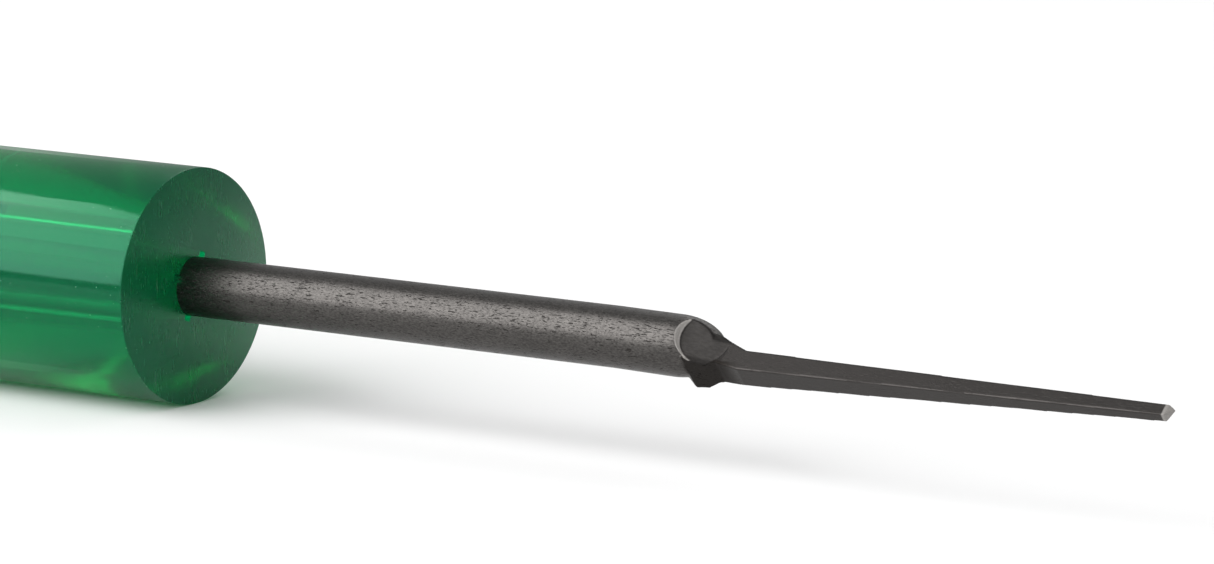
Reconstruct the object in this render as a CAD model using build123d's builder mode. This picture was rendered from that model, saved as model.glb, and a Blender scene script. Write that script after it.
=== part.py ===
from build123d import *
import os
from math import cos, radians, sin, sqrt

# Scratch awl: a winged steel shank pressed into a clear plastic handle.
# +X runs along the tool towards its point, +Z is up, and the origin is on the
# axis where the shank leaves the handle's front face. Millimetres, degrees.
# Angles across the tool are measured from +Y towards +Z.

# Handle
handle_diameter = 25.4
handle_length = 101.6
front_edge_break = 0.12
butt_round = 9.0
collar_length = 34.0
grip_relief = 0.25
flute_count = 8
flute_cutter_radius = 6.5
flute_depth = 1.15
flute_run_out_radius = 28.0
flute_run_out_arc = 60.0

# Shank: tang, then the plain bar, which bends a little low before the shoulder
shank_diameter = 6.35
tang_length = 72.0
tang_end_chamfer = 0.8
plain_bar = 54.0
shoulder = 61.5

# Wings pressed out of the tang
wing_count = 4
wing_angle = 68.0
wing_start = 24.4
wing_length = 16.0
wing_ramp = 2.5
wing_thickness = 0.85
wing_height = 0.625

# Fits
bore_clearance = 0.04
wing_clearance = 0.03
bore_relief = 1.5
drill_point = 1.1

# Rounded nose of the bar, set a little low of the axis
nose_swell = 0.025
nose_length = 5.5
nose_offset = 0.13
nose_offset_angle = 257.7

# Blade: square in section, tapered to a point; its top face looks along blade_angle
blade_angle = 129.7
blade_top = 1.1
blade_root = 70.4
blade_end = 118.6
blade_point = 119.4
root_far_edge = 0.62
root_near_edge = 3.12
root_underside = -1.45
end_far_edge = 1.02
end_near_edge = 2.4
end_underside = 0.1
point_height = 0.72
point_across = 1.4

# Head: the block that joins the blade to the nose
head_start = 62.3
head_top_start = 64.8
head_top = 1.8
head_top_end = 68.2
head_far_side = -1.2
head_near_start = 1.9
wedge_start = 66.9
wedge_far_edge = -0.75

# Nub: the corner of metal that the forging dies squeezed out of the head
nub_face = 2.96
nub_face_start = 63.9
nub_start = 62.7
nub_start_depth = -1.75
nub_flank = 63.3
nub_flank_depth = -2.4
nub_crest_start = 64.0
nub_crest_end = 65.4
nub_depth = -2.95
nub_heel = 66.9
nub_heel_depth = -2.12
nub_dent = 67.6
nub_dent_face = 2.6

# Spot face: a shallow round flat ground into the head
spot_angle = 144.0
spot_tilt = 11.5
spot_height = 1.88
spot_station = 64.3
spot_along = 1.2
spot_across = -0.15
spot_radius = 2.72
spot_wall_flare = 0.3
spot_cutter_length = 4.0

handle_radius = handle_diameter / 2
grip_radius = handle_radius - grip_relief
shank_radius = shank_diameter / 2
wing_reach = shank_radius + wing_height
nose_radius = shank_radius + nose_swell
bore_radius = shank_radius + bore_clearance
bore_depth = tang_length + bore_relief
slot_depth = wing_start + wing_length + bore_relief


def across(angle):
    """The unit direction across the tool at this angle."""
    return Vector(0, cos(radians(angle)), sin(radians(angle)))


def side_plane(angle):
    """A sketch plane through the axis: local x along the tool, local y across it at angle."""
    return Plane(origin=(0, 0, 0), x_dir=(1, 0, 0), z_dir=across(angle + 90))


os.makedirs("parts", exist_ok=True)

# A round-nosed groove that climbs out of the handle's skin at its front end
flute_cutter_height = grip_radius + flute_cutter_radius - flute_depth
flute_climb = sqrt(2 * flute_run_out_radius * flute_depth - flute_depth**2)
with BuildPart() as flute:
    with BuildLine(Plane.XZ) as flute_path:
        groove = Line(
            (-handle_length - flute_cutter_radius, flute_cutter_height),
            (-collar_length - flute_climb, flute_cutter_height),
        )
        JernArc(
            start=groove @ 1,
            tangent=groove % 1,
            radius=flute_run_out_radius,
            arc_size=flute_run_out_arc,
        )
    with BuildSketch(Plane(origin=groove @ 0, z_dir=groove % 0)):
        Circle(flute_cutter_radius)
    sweep()

with BuildPart() as handle:
    # the grip behind the collar, buffed a little under the rod's size
    with BuildSketch(Plane.YZ):
        Circle(grip_radius)
    extrude(amount=-handle_length)
    rims = handle.edges().filter_by(GeomType.CIRCLE).sort_by(Axis.X)
    fillet(rims[0], butt_round)
    with BuildSketch(Plane.YZ):
        Circle(handle_radius)
    extrude(amount=-collar_length)
    rims = handle.edges().filter_by(GeomType.CIRCLE).sort_by(Axis.X)
    chamfer(rims[-1], front_edge_break)
    for i in range(flute_count):
        add(flute.part, rotation=(360 / flute_count * i, 0, 0), mode=Mode.SUBTRACT)
    # bore for the tang, with the drill's point at its bottom
    with BuildSketch(side_plane(0)):
        with BuildLine():
            Polyline(
                (0, 0),
                (0, bore_radius),
                (-bore_depth, bore_radius),
                (-bore_depth - drill_point, 0),
                close=True,
            )
        make_face()
    revolve(axis=Axis.X, mode=Mode.SUBTRACT)
    # slots that the wings cut on their way in
    with BuildSketch(Plane.YZ):
        with PolarLocations(0, wing_count, start_angle=wing_angle):
            Rectangle(
                wing_reach + wing_clearance,
                wing_thickness + 2 * wing_clearance,
                align=(Align.MIN, Align.CENTER),
            )
    extrude(amount=-slot_depth, mode=Mode.SUBTRACT)

with BuildPart() as bar:
    with BuildSketch(Plane.YZ.offset(-tang_length)):
        Circle(shank_radius)
    extrude(amount=tang_length + plain_bar)
    tang_rim = bar.edges().filter_by(GeomType.CIRCLE).sort_by(Axis.X)[0]
    chamfer(tang_rim, tang_end_chamfer)
    for i in range(wing_count):
        with BuildSketch(side_plane(wing_angle + 360 / wing_count * i)):
            with BuildLine():
                Polyline(
                    (-wing_start, 0),
                    (-wing_start, wing_reach),
                    (-wing_start - wing_length + wing_ramp, wing_reach),
                    (-wing_start - wing_length, shank_radius),
                    (-wing_start - wing_length, 0),
                    close=True,
                )
            make_face()
        extrude(amount=wing_thickness / 2, both=True)
    # the swelling towards the shoulder
    nose_centre = across(nose_offset_angle) * nose_offset
    with BuildSketch(Plane.YZ.offset(plain_bar)):
        Circle(shank_radius)
    with BuildSketch(Plane.YZ.offset(shoulder)):
        with Locations((nose_centre.Y, nose_centre.Z)):
            Circle(nose_radius)
    loft()
    # the rounded nose
    with BuildSketch(Plane(origin=nose_centre, x_dir=(1, 0, 0), z_dir=(0, -1, 0))):
        with BuildLine():
            Polyline((shoulder + nose_length, 0), (shoulder, 0), (shoulder, nose_radius))
            EllipticalCenterArc(
                (shoulder, 0), nose_length, nose_radius, start_angle=0, arc_size=90
            )
        make_face()
    revolve(axis=Axis(nose_centre, (1, 0, 0)))

# Head and blade: a side outline and a plan outline, one cut through the other
with BuildPart() as blade:
    with BuildSketch(side_plane(blade_angle)):
        with BuildLine():
            Polyline(
                (head_start, blade_top),
                (head_top_start, head_top),
                (head_top_end, blade_top),
                (blade_end, blade_top),
                (blade_point, point_height),
                (blade_end, end_underside),
                (blade_root, root_underside),
                (nub_heel, nub_heel_depth),
                (nub_crest_end, nub_depth),
                (nub_crest_start, nub_depth),
                (nub_flank, nub_flank_depth),
                (nub_start, nub_start_depth),
                (head_start, 0),
                close=True,
            )
        make_face()
    extrude(amount=shank_diameter, both=True)
    with BuildSketch(side_plane(blade_angle + 90)):
        with BuildLine():
            Polyline(
                (head_start, head_near_start),
                (nub_face_start, nub_face),
                (nub_crest_start, nub_face),
                (nub_dent, nub_dent_face),
                (blade_root, root_near_edge),
                (blade_end, end_near_edge),
                (blade_point, point_across),
                (blade_end, end_far_edge),
                (blade_root, root_far_edge),
                (wedge_start, wedge_far_edge),
                (head_start, head_far_side),
                close=True,
            )
        make_face()
    extrude(amount=shank_diameter, both=True, mode=Mode.INTERSECT)

with BuildPart() as shank:
    add(bar.part)
    add(blade.part)
    tilt_cos = cos(radians(spot_tilt))
    tilt_sin = sin(radians(spot_tilt))
    spot_out = across(spot_angle)
    spot_normal = Vector(tilt_sin, 0, 0) + spot_out * tilt_cos
    spot_x = Vector(tilt_cos, 0, 0) - spot_out * tilt_sin
    spot_centre = (
        Vector(spot_station, 0, 0)
        + spot_out * spot_height
        + spot_x * spot_along
        + across(spot_angle + 90) * spot_across
    )
    spot_plane = Plane(origin=spot_centre, x_dir=spot_x, z_dir=spot_normal)
    with BuildSketch(spot_plane):
        Circle(spot_radius)
    with BuildSketch(spot_plane.offset(spot_cutter_length)):
        Circle(spot_radius + spot_wall_flare * spot_cutter_length)
    loft(mode=Mode.SUBTRACT)

handle.part.label = "handle"
export_step(handle.part, "parts/handle.step")
shank.part.label = "shank"
export_step(shank.part, "parts/shank.step")
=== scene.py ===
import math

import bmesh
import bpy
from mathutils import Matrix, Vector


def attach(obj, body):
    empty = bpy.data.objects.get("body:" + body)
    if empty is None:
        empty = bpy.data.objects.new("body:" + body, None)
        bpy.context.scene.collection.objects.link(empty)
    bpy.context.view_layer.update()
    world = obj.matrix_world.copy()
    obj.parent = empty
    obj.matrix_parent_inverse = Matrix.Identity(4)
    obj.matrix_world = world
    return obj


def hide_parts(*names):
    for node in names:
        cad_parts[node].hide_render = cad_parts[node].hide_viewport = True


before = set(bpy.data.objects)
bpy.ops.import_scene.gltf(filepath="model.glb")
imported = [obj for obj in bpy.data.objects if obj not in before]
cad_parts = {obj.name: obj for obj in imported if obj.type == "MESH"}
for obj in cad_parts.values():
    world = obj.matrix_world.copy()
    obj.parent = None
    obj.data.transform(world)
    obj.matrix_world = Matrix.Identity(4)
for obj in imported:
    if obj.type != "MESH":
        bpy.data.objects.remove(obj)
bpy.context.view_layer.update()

# %% [markdown]
# # A scratch awl
#
# A scratch awl marks leather and starts holes in it. The real one is two pieces: a clear green
# plastic handle, and a forged steel shank whose rear end, the tang, was pressed into the handle.
# This lesson builds both again as smooth, detailed pieces in place of the plain solids that came
# with the frame, gives them their finishes, and lights them. Lengths are written in millimetres
# and turned to metres where a piece is made.

MM = 0.001

# %% [markdown]
# ## Small helpers
#
# Edit-mode operators act on all that is selected, and a new primitive comes in selected, so
# every step starts by letting go of everything. Faces, edges and points are then picked by where
# they are. Picking in code does what a click does in the window, and it still works when a size
# changes.

# %% Select and edit helpers
def release():
    bpy.ops.object.select_all(action="DESELECT")


def hold(piece):
    """Make this the only selected object, and the active one, in object mode."""
    if bpy.context.mode != "OBJECT":
        bpy.ops.object.mode_set(mode="OBJECT")
    release()
    piece.select_set(True)
    bpy.context.view_layer.objects.active = piece


def pick(piece, kind, test):
    """In edit mode, select only the points, edges or faces that pass the test."""
    hold(piece)
    bpy.ops.object.mode_set(mode="EDIT")
    bpy.ops.mesh.select_mode(type=kind)
    bpy.ops.mesh.select_all(action="DESELECT")
    mesh = bmesh.from_edit_mesh(piece.data)
    parts = {"VERT": mesh.verts, "EDGE": mesh.edges, "FACE": mesh.faces}[kind]
    found = [part for part in parts if test(part)]
    for part in found:
        part.select_set(True)
    mesh.select_flush_mode()
    bmesh.update_edit_mesh(piece.data)
    print("picked", len(found), kind, "on", piece.name)


def done():
    bpy.ops.object.mode_set(mode="OBJECT")


# %% [markdown]
# A finished object sits at the origin, unturned and unscaled, with its place in its mesh. The
# next helpers do that, join pieces, apply a modifier, carve one shape out of another, and make a
# turned copy of a shape that repeats round the tool.

# %% Piece helpers
ALONG_X = (0, math.radians(90), 0)


def settle(piece):
    """Put the piece's place, turn and scale into its mesh."""
    hold(piece)
    bpy.ops.object.transform_apply(location=True, rotation=True, scale=True)
    return piece


def named(name):
    piece = bpy.context.active_object
    piece.name = name
    piece.data.name = name
    return settle(piece)


def join(pieces, name):
    release()
    for piece in pieces:
        piece.select_set(True)
    bpy.context.view_layer.objects.active = pieces[0]
    bpy.ops.object.join()
    return named(name)


def apply_modifier(piece, kind, **settings):
    hold(piece)
    modifier = piece.modifiers.new(kind, kind)
    for key, value in settings.items():
        setattr(modifier, key, value)
    bpy.ops.object.modifier_apply(modifier=modifier.name)


def carve(piece, cutter):
    """Take the cutter's shape out of the piece."""
    apply_modifier(piece, "BOOLEAN", operation="DIFFERENCE", solver="EXACT", object=cutter)
    bpy.data.objects.remove(cutter)


def cut_behind(piece, station):
    """Cut away what lies behind this station along the tool, and close the cut."""
    hold(piece)
    bpy.ops.object.mode_set(mode="EDIT")
    bpy.ops.mesh.select_all(action="SELECT")
    bpy.ops.mesh.bisect(
        plane_co=(station * MM, 0, 0), plane_no=(1, 0, 0), use_fill=True, clear_inner=True
    )
    done()


def turned_copy(piece, degrees):
    """Another copy of the piece, with its own mesh, turned about the tool's axis."""
    copy = piece.copy()
    copy.data = piece.data.copy()
    bpy.context.scene.collection.objects.link(copy)
    copy.rotation_euler = (math.radians(degrees), 0, 0)
    return settle(copy)


def across(degrees):
    """A unit direction across the tool, measured from +Y towards +Z."""
    angle = math.radians(degrees)
    return Vector((0, math.cos(angle), math.sin(angle)))


print("across(90) is", tuple(round(part, 3) for part in across(90)))

# %% [markdown]
# ## The handle
#
# The handle is a length of 1 in clear plastic rod, flutes milled along it for grip, its butt
# rounded and buffed and its front end cut off square. A turned profile or a stack of rings could
# make it. Here it starts as a cylinder, because the rod did, and it gets its shape as the rod
# did: its rims are bevelled, and cutters carve the flutes, the bore and the slots. The grip is
# buffed a little thinner than the collar in front of it.

# %% Handle blank
handle_radius = 12.7
handle_length = 101.6
butt_round = 9.0
front_edge_break = 0.12
collar_length = 34.0
collar_step = 0.4
grip_radius = 12.45
round_sides = 256

release()
bpy.ops.mesh.primitive_cylinder_add(
    vertices=round_sides,
    radius=grip_radius * MM,
    depth=(handle_length - collar_length) * MM,
    location=(-(handle_length + collar_length) / 2 * MM, 0, 0),
    rotation=ALONG_X,
)
grip = named("grip")
pick(grip, "EDGE", lambda e: all(v.co.x < -(handle_length - 1) * MM for v in e.verts))
bpy.ops.mesh.bevel(offset=butt_round * MM, segments=20, profile=0.5, affect="EDGES")
pick(grip, "FACE", lambda f: f.normal.x > 0.9)
bpy.ops.mesh.extrude_region_move(TRANSFORM_OT_translate={"value": (collar_step * MM, 0, 0)})
swell = handle_radius / grip_radius
bpy.ops.transform.resize(value=(1, swell, swell), center_override=(0, 0, 0))
plain_collar = collar_length - collar_step
bpy.ops.mesh.extrude_region_move(TRANSFORM_OT_translate={"value": (plain_collar * MM, 0, 0)})
pick(grip, "EDGE", lambda e: all(v.co.x > -1e-6 for v in e.verts))
bpy.ops.mesh.bevel(offset=front_edge_break * MM, segments=2, profile=0.5, affect="EDGES")
done()
print("handle blank", len(grip.data.polygons), "faces")

# %% [markdown]
# The flutes are cut by a round-nosed cutter that lifts out of the work near the collar, so each
# ends in a long shallow scoop. A stretched ball gives the scoop, and its back half is pulled out
# into the rest of the groove. One cutter is made, then turned copies of it.

# %% Flute cutter
flute_count = 8
flute_depth = 1.15
flute_cutter_radius = 6.5
flute_climb = 7.94
scoop_length = 14.0
scoop_x = -collar_length - flute_climb
cutter_height = grip_radius + flute_cutter_radius - flute_depth
groove_length = handle_length + scoop_x + flute_cutter_radius

release()
bpy.ops.mesh.primitive_uv_sphere_add(
    segments=96,
    ring_count=48,
    radius=1,
    location=(scoop_x * MM, 0, cutter_height * MM),
    rotation=ALONG_X,
    scale=(flute_cutter_radius * MM, flute_cutter_radius * MM, scoop_length * MM),
)
flute = named("flute_cutter")
pick(flute, "VERT", lambda v: v.co.x < (scoop_x - 0.01) * MM)
bpy.ops.mesh.delete(type="VERT")
pick(flute, "EDGE", lambda e: e.is_boundary)
bpy.ops.mesh.extrude_region_move(TRANSFORM_OT_translate={"value": (-groove_length * MM, 0, 0)})
bpy.ops.mesh.edge_face_add()
bpy.ops.mesh.select_all(action="SELECT")
bpy.ops.mesh.normals_make_consistent(inside=False)
done()
print("flute cutter", len(flute.data.polygons), "faces")

# %% Flutes
turned_cutters = [turned_copy(flute, 360 / flute_count * i) for i in range(1, flute_count)]
for cutter in [flute] + turned_cutters:
    carve(grip, cutter)
print("with flutes", len(grip.data.polygons), "faces")

# %% [markdown]
# The bore is drilled, so it ends in the drill's cone. The bore matters even though it is inside:
# the handle is clear, and light bends at its wall. The drill is a cylinder whose end face is
# poked, which raises a cone from the face's middle. It sticks out in front by an overshoot, so that
# it cuts the front face cleanly.

# %% Bore
bore_radius = 3.215
bore_depth = 73.5
drill_point = 1.1
overshoot = 2.0

release()
bpy.ops.mesh.primitive_cylinder_add(
    vertices=128,
    radius=bore_radius * MM,
    depth=(bore_depth + overshoot) * MM,
    location=((overshoot - bore_depth) / 2 * MM, 0, 0),
    rotation=ALONG_X,
)
drill = named("drill")
pick(drill, "FACE", lambda f: f.normal.x < -0.9)
bpy.ops.mesh.poke(offset=drill_point * MM)
done()
carve(grip, drill)
print("with bore", len(grip.data.polygons), "faces")

# %% [markdown]
# The tang's four wings ploughed their own slots on the way in. Two long boxes, each through the
# axis, cut two opposite slots at a time.

# %% Wing slots
wing_angle = 68.0
slot_reach = 3.83
slot_width = 0.91
slot_depth = 41.9

for turn in (wing_angle, wing_angle + 90):
    release()
    bpy.ops.mesh.primitive_cube_add(
        size=1,
        location=((overshoot - slot_depth) / 2 * MM, 0, 0),
        rotation=(math.radians(turn), 0, 0),
        scale=((overshoot + slot_depth) * MM, 2 * slot_reach * MM, slot_width * MM),
    )
    carve(grip, named("slot_cutter"))
print("with slots", len(grip.data.polygons), "faces")

# %% [markdown]
# The handle is shaded smooth where its faces meet at a low angle, and sharp at the flutes' edges
# and the rims. It then takes the place of the frame's plain handle.

# %% Handle surface
hold(grip)
bpy.ops.object.shade_smooth_by_angle(angle=math.radians(28))
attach(grip, "root")
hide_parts("handle")
print("handle box, mm", [round(side / MM, 2) for side in grip.dimensions])

# %% [markdown]
# ## The forged head and blade
#
# The shank is one bar of steel. Its front end was forged: the dies rounded the bar's nose, drew
# out the square blade, and squeezed a nub of metal out at one side. A forging has no sharp
# corners, and the frame's solid has nothing but sharp ones. Bevels are hard to place where curved
# and flat faces cross at low angles, so the head is remeshed finely instead, like clay, and then
# relaxed, which rounds every corner by the same small amount. The curved parts are added again in
# many small steps first, so that the frame's flats don't show through.

# %% Bar end
shank_radius = 3.175
head_back = 53.5
plain_bar = 54.0
bar_end_length = 3.0
shoulder = 61.5
nose_radius = 3.2
nose_length = 5.5
nose_offset = across(257.7) * 0.13
nose_centre = (Vector((shoulder, 0, 0)) + nose_offset) * MM

release()
bpy.ops.mesh.primitive_cylinder_add(
    vertices=round_sides,
    radius=shank_radius * MM,
    depth=bar_end_length * MM,
    location=((plain_bar - bar_end_length / 2) * MM, 0, 0),
    rotation=ALONG_X,
)
bar_end = named("bar_end")
pick(bar_end, "FACE", lambda f: f.normal.x > 0.9)
swelling = Vector((shoulder - plain_bar, 0, 0)) + nose_offset
bpy.ops.mesh.extrude_region_move(TRANSFORM_OT_translate={"value": swelling * MM})
grow = nose_radius / shank_radius
bpy.ops.transform.resize(value=(1, grow, grow), center_override=nose_centre)
done()
print("bar end", len(bar_end.data.polygons), "faces")

# %% [markdown]
# The rounded nose is half of a ball stretched along the tool. A whole ball is used: its rear half
# lies inside the bar and the remesh swallows it.

# %% Nose
release()
bpy.ops.mesh.primitive_uv_sphere_add(
    segments=round_sides,
    ring_count=128,
    radius=1,
    location=nose_centre,
    rotation=ALONG_X,
    scale=(nose_radius * MM, nose_radius * MM, nose_length * MM),
)
nose = named("nose")
print("nose tip at", max(v.co.x for v in nose.data.vertices))

# %% [markdown]
# A shallow round flat was then ground into the head. Its wall is the bright crescent behind the
# flat. The cutter is a short cone that stands on the flat, wider at the top like the worn edge of
# the stone.

# %% Ground spot
spot_tilt = math.radians(11.5)
spot_out = across(144)
spot_side = across(234)
spot_normal = Vector((math.sin(spot_tilt), 0, 0)) + spot_out * math.cos(spot_tilt)
spot_along = Vector((math.cos(spot_tilt), 0, 0)) - spot_out * math.sin(spot_tilt)
spot_centre = Vector((64.3, 0, 0)) + spot_out * 1.88 + spot_along * 1.2 + spot_side * -0.15
spot_radius = 2.72
spot_flare = 0.3
spot_height = 4.0

for part in (bar_end, nose):
    release()
    bpy.ops.mesh.primitive_cone_add(
        vertices=round_sides,
        radius1=spot_radius * MM,
        radius2=(spot_radius + spot_flare * spot_height) * MM,
        depth=spot_height * MM,
        location=(spot_centre + spot_normal * spot_height / 2) * MM,
        rotation=spot_normal.to_track_quat("Z", "X").to_euler(),
    )
    carve(part, named("spot_cutter"))
print("spot centre", [round(c, 3) for c in spot_centre])

# %% [markdown]
# The flat-sided block of the head and the blade comes from a merged copy of the frame's shank.
# Its own rear part is cut away, and the rest is joined to the smooth nose and remeshed as one
# skin. A few turns of smoothing round the corners and leave the point sharp.

# %% Flat-sided block
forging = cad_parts["shank"].copy()
forging.data = forging.data.copy()
for key in list(forging.keys()):
    del forging[key]
forging.parent = None
bpy.context.scene.collection.objects.link(forging)
forging.name = "forging"
hold(forging)
bpy.ops.object.mode_set(mode="EDIT")
bpy.ops.mesh.select_all(action="SELECT")
bpy.ops.mesh.remove_doubles(threshold=1e-6)
done()
cut_behind(forging, plain_bar - 1)
print("flat-sided block", len(forging.data.polygons), "faces")

# %% One forged skin
skin_step = 0.1

forging = join([forging, bar_end, nose], "forging")
apply_modifier(forging, "REMESH", mode="VOXEL", voxel_size=skin_step * MM, adaptivity=0)
apply_modifier(forging, "SMOOTH", factor=0.5, iterations=4)
cut_behind(forging, head_back)
print("forged head and blade", len(forging.data.polygons), "faces")

# %% [markdown]
# ## The bar and tang
#
# Behind the head the shank is plain round bar, with a chamfer at its hidden end so that it starts
# easily in the bore. A cylinder with one bevelled rim is all it needs.

# %% Bar
tang_length = 72.0
tang_chamfer = 0.8

release()
bpy.ops.mesh.primitive_cylinder_add(
    vertices=round_sides,
    radius=shank_radius * MM,
    depth=(tang_length + head_back) * MM,
    location=((head_back - tang_length) / 2 * MM, 0, 0),
    rotation=ALONG_X,
)
bar = named("bar")
pick(bar, "EDGE", lambda e: all(v.co.x < -tang_length / 2 * MM for v in e.verts))
bpy.ops.mesh.bevel(offset=tang_chamfer * MM, segments=1, affect="EDGES")
done()
print("bar", len(bar.data.polygons), "faces")

# %% [markdown]
# The tang carries four wings, pinched out of the bar, that keep it from turning in the handle.
# They are seen, bent by the plastic, from the side. Each is a thin box: its rear top edge is
# dropped to the bar, which makes one long slope, and the box is then cut where the ramp
# should start and raised there again.

# %% Wings
wing_start = 24.4
wing_length = 16.0
wing_ramp = 2.5
wing_thickness = 0.85
wing_reach = 3.8
wing_count = 4
wing_rear = -(wing_start + wing_length)
crest = wing_rear + wing_ramp
drop = wing_reach - shank_radius

release()
bpy.ops.mesh.primitive_cube_add(
    size=1,
    location=((wing_rear + wing_length / 2) * MM, wing_reach / 2 * MM, 0),
    scale=(wing_length * MM, wing_reach * MM, wing_thickness * MM),
)
wing = named("wing")
pick(wing, "EDGE", lambda e: all(v.co.x < -(wing_start + 1) * MM and v.co.y > MM for v in e.verts))
bpy.ops.transform.translate(value=(0, -drop * MM, 0))
bpy.ops.mesh.select_all(action="SELECT")
bpy.ops.mesh.bisect(plane_co=(crest * MM, 0, 0), plane_no=(1, 0, 0))
pick(wing, "VERT", lambda v: abs(v.co.x - crest * MM) < 1e-6 and v.co.y > MM)
bpy.ops.transform.translate(value=(0, drop * (1 - wing_ramp / wing_length) * MM, 0))
done()
wings = [turned_copy(wing, wing_angle + 360 / wing_count * i) for i in range(wing_count)]
bpy.data.objects.remove(wing)
print("wings", len(wings))

# %% [markdown]
# Bar, head and wings become one piece, as the real shank is one piece of steel. It takes the
# place of the frame's plain shank.

# %% Shank surface
shank = join([bar, forging] + wings, "shank_steel")
hold(shank)
bpy.ops.object.shade_smooth_by_angle(angle=math.radians(35))
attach(shank, "root")
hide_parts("shank")
print("shank", len(shank.data.polygons), "faces")

# %% [markdown]
# ## Writing shader maths
#
# A finish is a tree of nodes, and a tree of Math nodes is hard to read as a drawing. This class
# wraps one output socket, so that sums on it read as sums and add the Math nodes themselves.

# %% Wire class
class Wire:
    """One output socket. Arithmetic on it adds Math nodes to its material."""

    def __init__(self, tree, socket):
        self.tree = tree
        self.socket = socket

    def node(self, kind, settings=None, values=None, out=0):
        """Add any node: its settings first, then its sockets' values or wires."""
        made = self.tree.nodes.new(kind)
        for key, value in (settings or {}).items():
            setattr(made, key, value)
        for key, value in (values or {}).items():
            if isinstance(value, Wire):
                self.tree.links.new(value.socket, made.inputs[key])
            else:
                made.inputs[key].default_value = value
        return Wire(self.tree, made.outputs[out])

    def maths(self, operation, *others):
        values = dict(enumerate((self,) + others))
        return self.node("ShaderNodeMath", {"operation": operation}, values)

    def __add__(self, other):
        return self.maths("ADD", other)

    def __radd__(self, other):
        return self.maths("ADD", other)

    def __sub__(self, other):
        return self.maths("SUBTRACT", other)

    def __rsub__(self, other):
        return (self * -1).maths("ADD", other)

    def __mul__(self, other):
        return self.maths("MULTIPLY", other)

    def __rmul__(self, other):
        return self.maths("MULTIPLY", other)

    def capped(self):
        return self.maths("MINIMUM", 1)

    def step(self, low, high):
        """0 below low, 1 above high, smooth between; turned round when low is above high."""
        span = {"data_type": "FLOAT", "interpolation_type": "SMOOTHSTEP"}
        sockets = {"Value": self, "From Min": low, "From Max": high}
        return self.node("ShaderNodeMapRange", span, sockets, "Result")

    def noise(self, scale, stretch=(1, 1, 1), detail=3, turn=(0, 0, 0)):
        """Noise on this place, in features per millimetre, stretched along the axes."""
        sockets = {"Vector": self, "Scale": stretch, "Rotation": turn}
        placed = self.node("ShaderNodeMapping", None, sockets)
        sockets = {"Vector": placed, "Scale": scale, "Detail": detail}
        return self.node("ShaderNodeTexNoise", None, sockets, "Fac")

    def dot(self, direction):
        """How far this place lies along a direction."""
        sockets = {0: self, 1: tuple(direction)}
        return self.node("ShaderNodeVectorMath", {"operation": "DOT_PRODUCT"}, sockets, "Value")

    def blend(self, under, over):
        """The colour under where this mask is 0, and over where it is 1."""
        sockets = {"Factor": self, 6: under, 7: over}
        return self.node("ShaderNodeMix", {"data_type": "RGBA"}, sockets, 2)


print("operators ready:", [name for name in vars(Wire) if name.startswith("__r")])

# %% [markdown]
# Each finish starts as an empty material. Its patterns read the place on the piece in
# millimetres, so they stay put on the piece from every side.

# %% Finish helpers
def new_finish(name):
    """An empty material, and the place on the piece in millimetres."""
    material = bpy.data.materials.new(name)
    material.use_nodes = True
    tree = material.node_tree
    tree.nodes.clear()
    spot = Wire(tree, None).node("ShaderNodeTexCoord", out="Object")
    place = spot.node("ShaderNodeVectorMath", {"operation": "SCALE"}, {0: spot, "Scale": 1 / MM})
    return material, place


def surface(place, values):
    return place.node("ShaderNodeBsdfPrincipled", None, values)


def relief(place, strength, depth, height):
    sockets = {"Strength": strength, "Distance": depth * MM, "Height": height}
    return place.node("ShaderNodeBump", None, sockets)


def wear(piece, material, **ends):
    """Link the finish's ends to its output, and put it on the piece."""
    tree = material.node_tree
    output = tree.nodes.new("ShaderNodeOutputMaterial")
    for key, wire in ends.items():
        tree.links.new(wire.socket, output.inputs[key])
    piece.data.materials.clear()
    piece.data.materials.append(material)
    print(material.name, "has", len(tree.nodes), "nodes")


print("finish helpers ready")

# %% [markdown]
# ## Clear green plastic
#
# The handle is clear cellulose acetate. Its colour is in its depth, not on its skin, so the
# surface shader is almost plain glass and a volume takes out red and blue light along each ray's
# way through. The sawn front face is a little dull and gets fine scratches, in two directions
# and in patches. Both kinds are noise stretched into lines.

# %% Scratches
plastic, place = new_finish("clear_green_plastic")
front = place.dot((1, 0, 0)).step(-0.2, -0.1)
scuffs = place.noise(5, stretch=(1, 1, 0.05), turn=(math.radians(14), 0, 0))
fine_scuffs = place.noise(9, stretch=(1, 1, 0.12), detail=4, turn=(math.radians(-20), 0, 0))
patch = place.noise(0.35, detail=2).step(0.42, 0.6)
scratches = front * (scuffs.step(0.62, 0.7) + fine_scuffs.step(0.66, 0.72) * 0.7) * patch
specks = (place.noise(4, detail=2).step(0.74, 0.78) + scratches).capped()
print("scratch nodes", len(plastic.node_tree.nodes))

# %% Handle finish
clear_green = (0.004, 0.5, 0.2, 1)
scratch_white = (0.6, 0.8, 0.7, 1)

plastic_surface = surface(
    place,
    {
        "Base Color": (specks * 0.45).blend(clear_green, scratch_white),
        "Transmission Weight": 0.88,
        "IOR": 1.48,
        "Specular IOR Level": 0.16,
        "Specular Tint": (0.35, 0.9, 0.68, 1),
        "Roughness": 0.1 + front * 0.16 + specks * 0.2,
        "Normal": relief(place, 0.2, 0.01, specks * -1),
    },
)
depth_colour = place.node(
    "ShaderNodeVolumeAbsorption", None, {"Color": (0.08, 0.77, 0.59, 1), "Density": 125.0}
)
wear(grip, plastic, Surface=plastic_surface, Volume=depth_colour)

# %% [markdown]
# ## Blackened steel
#
# The shank has the thin black scale of forging and heat treatment: a dark coat with a soft shine
# and small pits that the drawing of the bar stretched along it. First come the patterns that run
# over the whole shank: pits, slow clouds, fine grain and grinding marks.

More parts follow.
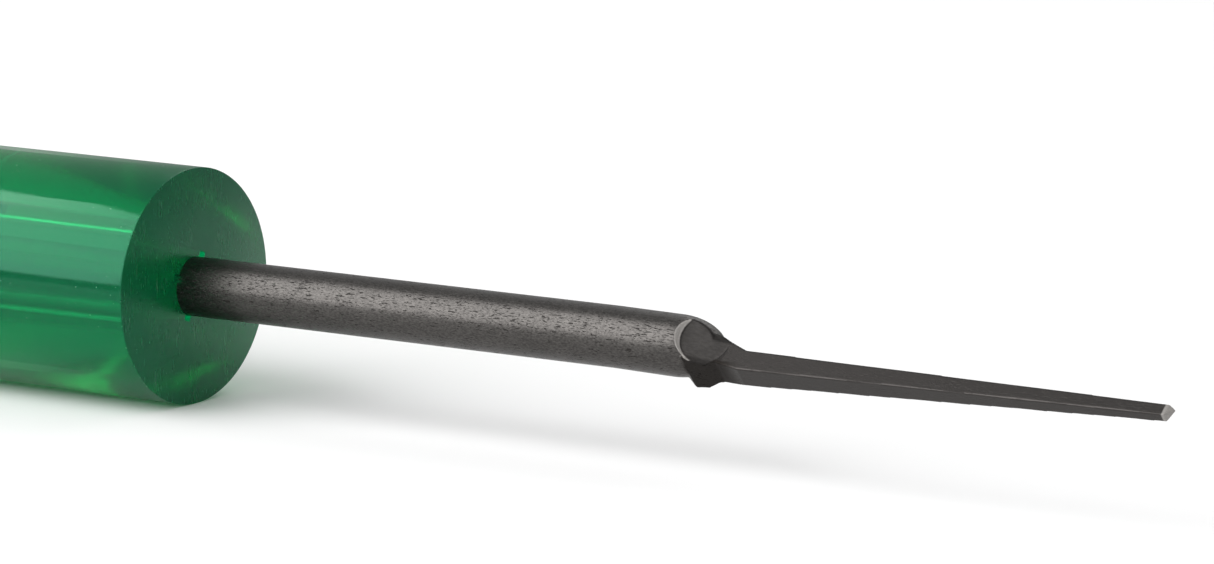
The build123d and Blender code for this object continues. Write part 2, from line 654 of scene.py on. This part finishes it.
# %% Steel patterns
steel, place = new_finish("blackened_steel")
pits = place.noise(6.2, stretch=(0.2, 1, 1)).step(0.6, 0.66)
small_pits = place.noise(10, stretch=(0.25, 1, 1), detail=2).step(0.62, 0.7)
all_pits = (pits + small_pits * 0.8).capped()
cloud = place.noise(0.5)
grain = place.noise(7, stretch=(0.45, 1, 1), detail=4)
mottle = cloud * 0.4 + grain.step(0.3, 0.7) * 0.6
grind = place.noise(5, stretch=(0.25, 1, 1), turn=(0, math.radians(35), math.radians(20)))
print("pattern nodes", len(steel.node_tree.nodes))

# %% [markdown]
# Where something was ground after the scale had formed, bare steel shows: on the crescent behind
# the flat, and on the point. The crescent's wall faces away from the main light, so its pale colour
# is partly bare steel and partly a painted highlight. Masks find these places by measuring from the
# spot's centre: how far above the flat, how far out from its middle, and how far ahead along it.

# %% Ground places
x = place.dot((1, 0, 0))
from_spot = place.node(
    "ShaderNodeVectorMath", {"operation": "SUBTRACT"}, {0: place, 1: tuple(spot_centre)}
)
rise = from_spot.dot(spot_normal)
ahead = from_spot.dot(spot_along)
distance = from_spot.node(
    "ShaderNodeVectorMath", {"operation": "LENGTH"}, {0: from_spot}, "Value"
)
span = (distance * distance - rise * rise).maths("SQRT")
on_flat = rise.step(0.16, 0.06) * span.step(spot_radius + 0.15, spot_radius) * rise.step(-0.2, -0.1)
wall_span = span - rise * spot_flare
# The crescent wall's mask: bare steel there, with a painted highlight on a wall that faces away
# from the main light.
on_wall = (
    rise.step(0.0, 0.1)
    * wall_span.step(spot_radius - 0.5, spot_radius - 0.1)
    * wall_span.step(spot_radius + 0.16, spot_radius)
    * ahead.step(0.9, 0.2)
)
on_point = x.step(118.2, 118.4)
# bright marks bare steel on the point, and on the crescent bare steel with a painted highlight.
bright = (on_wall + on_point).capped()
print("with ground places", len(steel.node_tree.nodes))

# %% [markdown]
# The nub's near face turns down and away from the light, and it is painted darker: painted shade.
# The pits fade out towards the blade, which was drawn out and smoothed, and the grinding took them
# off the flat.

# %% Nub and pits
near_side = place.dot(across(219.7))
# Mask of the nub's near face, which turns down from the light: shade is painted there.
nub_painted_shade = x.step(63.5, 64.0) * x.step(71.0, 68.0) * near_side.step(2.2, 2.5)
pit_mask = all_pits * (1 - on_flat) * (1 - x.step(66, 72) * 0.7)
print("with nub and pits", len(steel.node_tree.nodes))

# %% [markdown]
# The colours are laid over one another in this order: bar, blade, the nub's painted shade, pits,
# ground flat, and bare metal with a painted highlight on the crescent. They are dark because on a
# metal the base colour is how much it reflects, and the scale reflects little.

# %% Steel colours
bar_colour = mottle.blend((0.042, 0.0398, 0.038, 1), (0.108, 0.102, 0.097, 1))
scale_colour = x.step(65, 68.5).blend(bar_colour, (0.05, 0.0465, 0.0445, 1))
# Painted shade: the nub's near face is darkened where it turns down from the light.
nub_shade_colour = nub_painted_shade.blend(scale_colour, (0.024, 0.021, 0.019, 1))
pitted_colour = (pit_mask * 0.6).blend(nub_shade_colour, (0.012, 0.0105, 0.0095, 1))
flat_mix = grind * 0.6 + cloud * 0.4
flat_colour = flat_mix.blend((0.014, 0.0132, 0.0125, 1), (0.056, 0.0528, 0.051, 1))
ground_colour = on_flat.blend(pitted_colour, flat_colour)
# Pale grey on the point is bare steel; on the crescent it is bare steel and a painted highlight.
bare_steel_and_highlight_colour = on_point.blend((0.5, 0.475, 0.45, 1), (0.26, 0.247, 0.232, 1))
steel_colour = (bright * (0.7 + grain * 0.3)).blend(ground_colour, bare_steel_and_highlight_colour)
print("with colours", len(steel.node_tree.nodes))

# %% Shank finish
height = grain * 0.35 + (1 - pit_mask) * 1.2 + (on_flat + bright) * grind * 0.7
steel_surface = surface(
    place,
    {
        "Base Color": steel_colour,
        "Metallic": 1 - bright,
        "Roughness": 0.3 + grain * 0.1 + pit_mask * 0.25 + nub_painted_shade * 0.25 + on_flat * 0.1,
        "Normal": relief(place, 0.5, 0.04, height),
    },
)
wear(shank, steel, Surface=steel_surface)

# %% [markdown]
# ## Floor
#
# The awl lies on a pale bench: the handle's side touches it and the shank reaches out over it.
# One large plane is enough, far wider than the view.

# %% Bench
release()
bpy.ops.mesh.primitive_plane_add(size=6, location=(0, 0, -handle_radius * MM))
floor = bpy.context.active_object
floor.name = "floor"
bench, place = new_finish("pale_bench")
bench_surface = surface(place, {"Base Color": (0.9, 0.9, 0.9, 1), "Roughness": 0.9})
wear(floor, bench, Surface=bench_surface)

# %% [markdown]
# ## Light
#
# One broad soft light hangs on the handle's side of the camera, because a round bar shows a light
# as a stripe, and that stripe sits where the bar turns halfway between light and eye. A weaker
# one behind picks out the top edges, and one ahead of the point lights the crescent, which faces
# that way. The room adds an even pale light from all round.

# %% Lights
world = bpy.data.worlds.new("soft_room")
bpy.context.scene.world = world
world.use_nodes = True
room = world.node_tree.nodes["Background"].inputs
room["Color"].default_value = (1, 1, 1, 1)
room["Strength"].default_value = 0.5


def soft_light(name, away, aim, size, brightness):
    """A square soft light. Brightness is how bright its face looks, 1 being white."""
    light = bpy.data.lights.new(name, "AREA")
    light.shape = "RECTANGLE"
    light.size, light.size_y = size
    light.energy = brightness * math.pi * size[0] * size[1]
    lamp = bpy.data.objects.new(name, light)
    bpy.context.scene.collection.objects.link(lamp)
    lamp.location = Vector(aim) + Vector(away)
    lamp.rotation_euler = Vector(away).to_track_quat("Z", "Y").to_euler()
    print(name, round(light.energy, 2), "W")


soft_light("stripe_light", (-0.55, -0.62, 0.56), (0.03, 0, 0), (1.05, 1.1), 4.0)
soft_light("rim_light", (-0.1, 0.62, 0.6), (0.05, 0, 0), (0.7, 0.6), 1.1)
soft_light("end_light", (0.85, 0.05, 0.35), (0.07, 0, 0), (0.7, 0.7), 0.75)
bpy.context.scene.view_settings.view_transform = "Standard"

# %% [markdown]
# ## Camera
#
# The camera looks along the tool from ahead and to its near side, a little from above, with a
# long lens. It is placed by the point that it aims at, a distance and two angles.

# %% Camera
camera_aim = Vector((0.05277, 0, 0.00552))
camera_distance = 0.63697
camera_azimuth = math.radians(33.905)
camera_elevation = math.radians(9.778)
level = math.cos(camera_elevation)
back = Vector(
    (
        math.sin(camera_azimuth) * level,
        -math.cos(camera_azimuth) * level,
        math.sin(camera_elevation),
    )
)
view = bpy.data.cameras.new("camera")
view.lens = 186.07
view.sensor_width = 36
camera = bpy.data.objects.new("camera", view)
bpy.context.scene.collection.objects.link(camera)
camera.location = camera_aim + back * camera_distance
camera.rotation_euler = back.to_track_quat("Z", "Y").to_euler()
bpy.context.scene.camera = camera
print("camera at", [round(part, 4) for part in camera.location])

# %% [markdown]
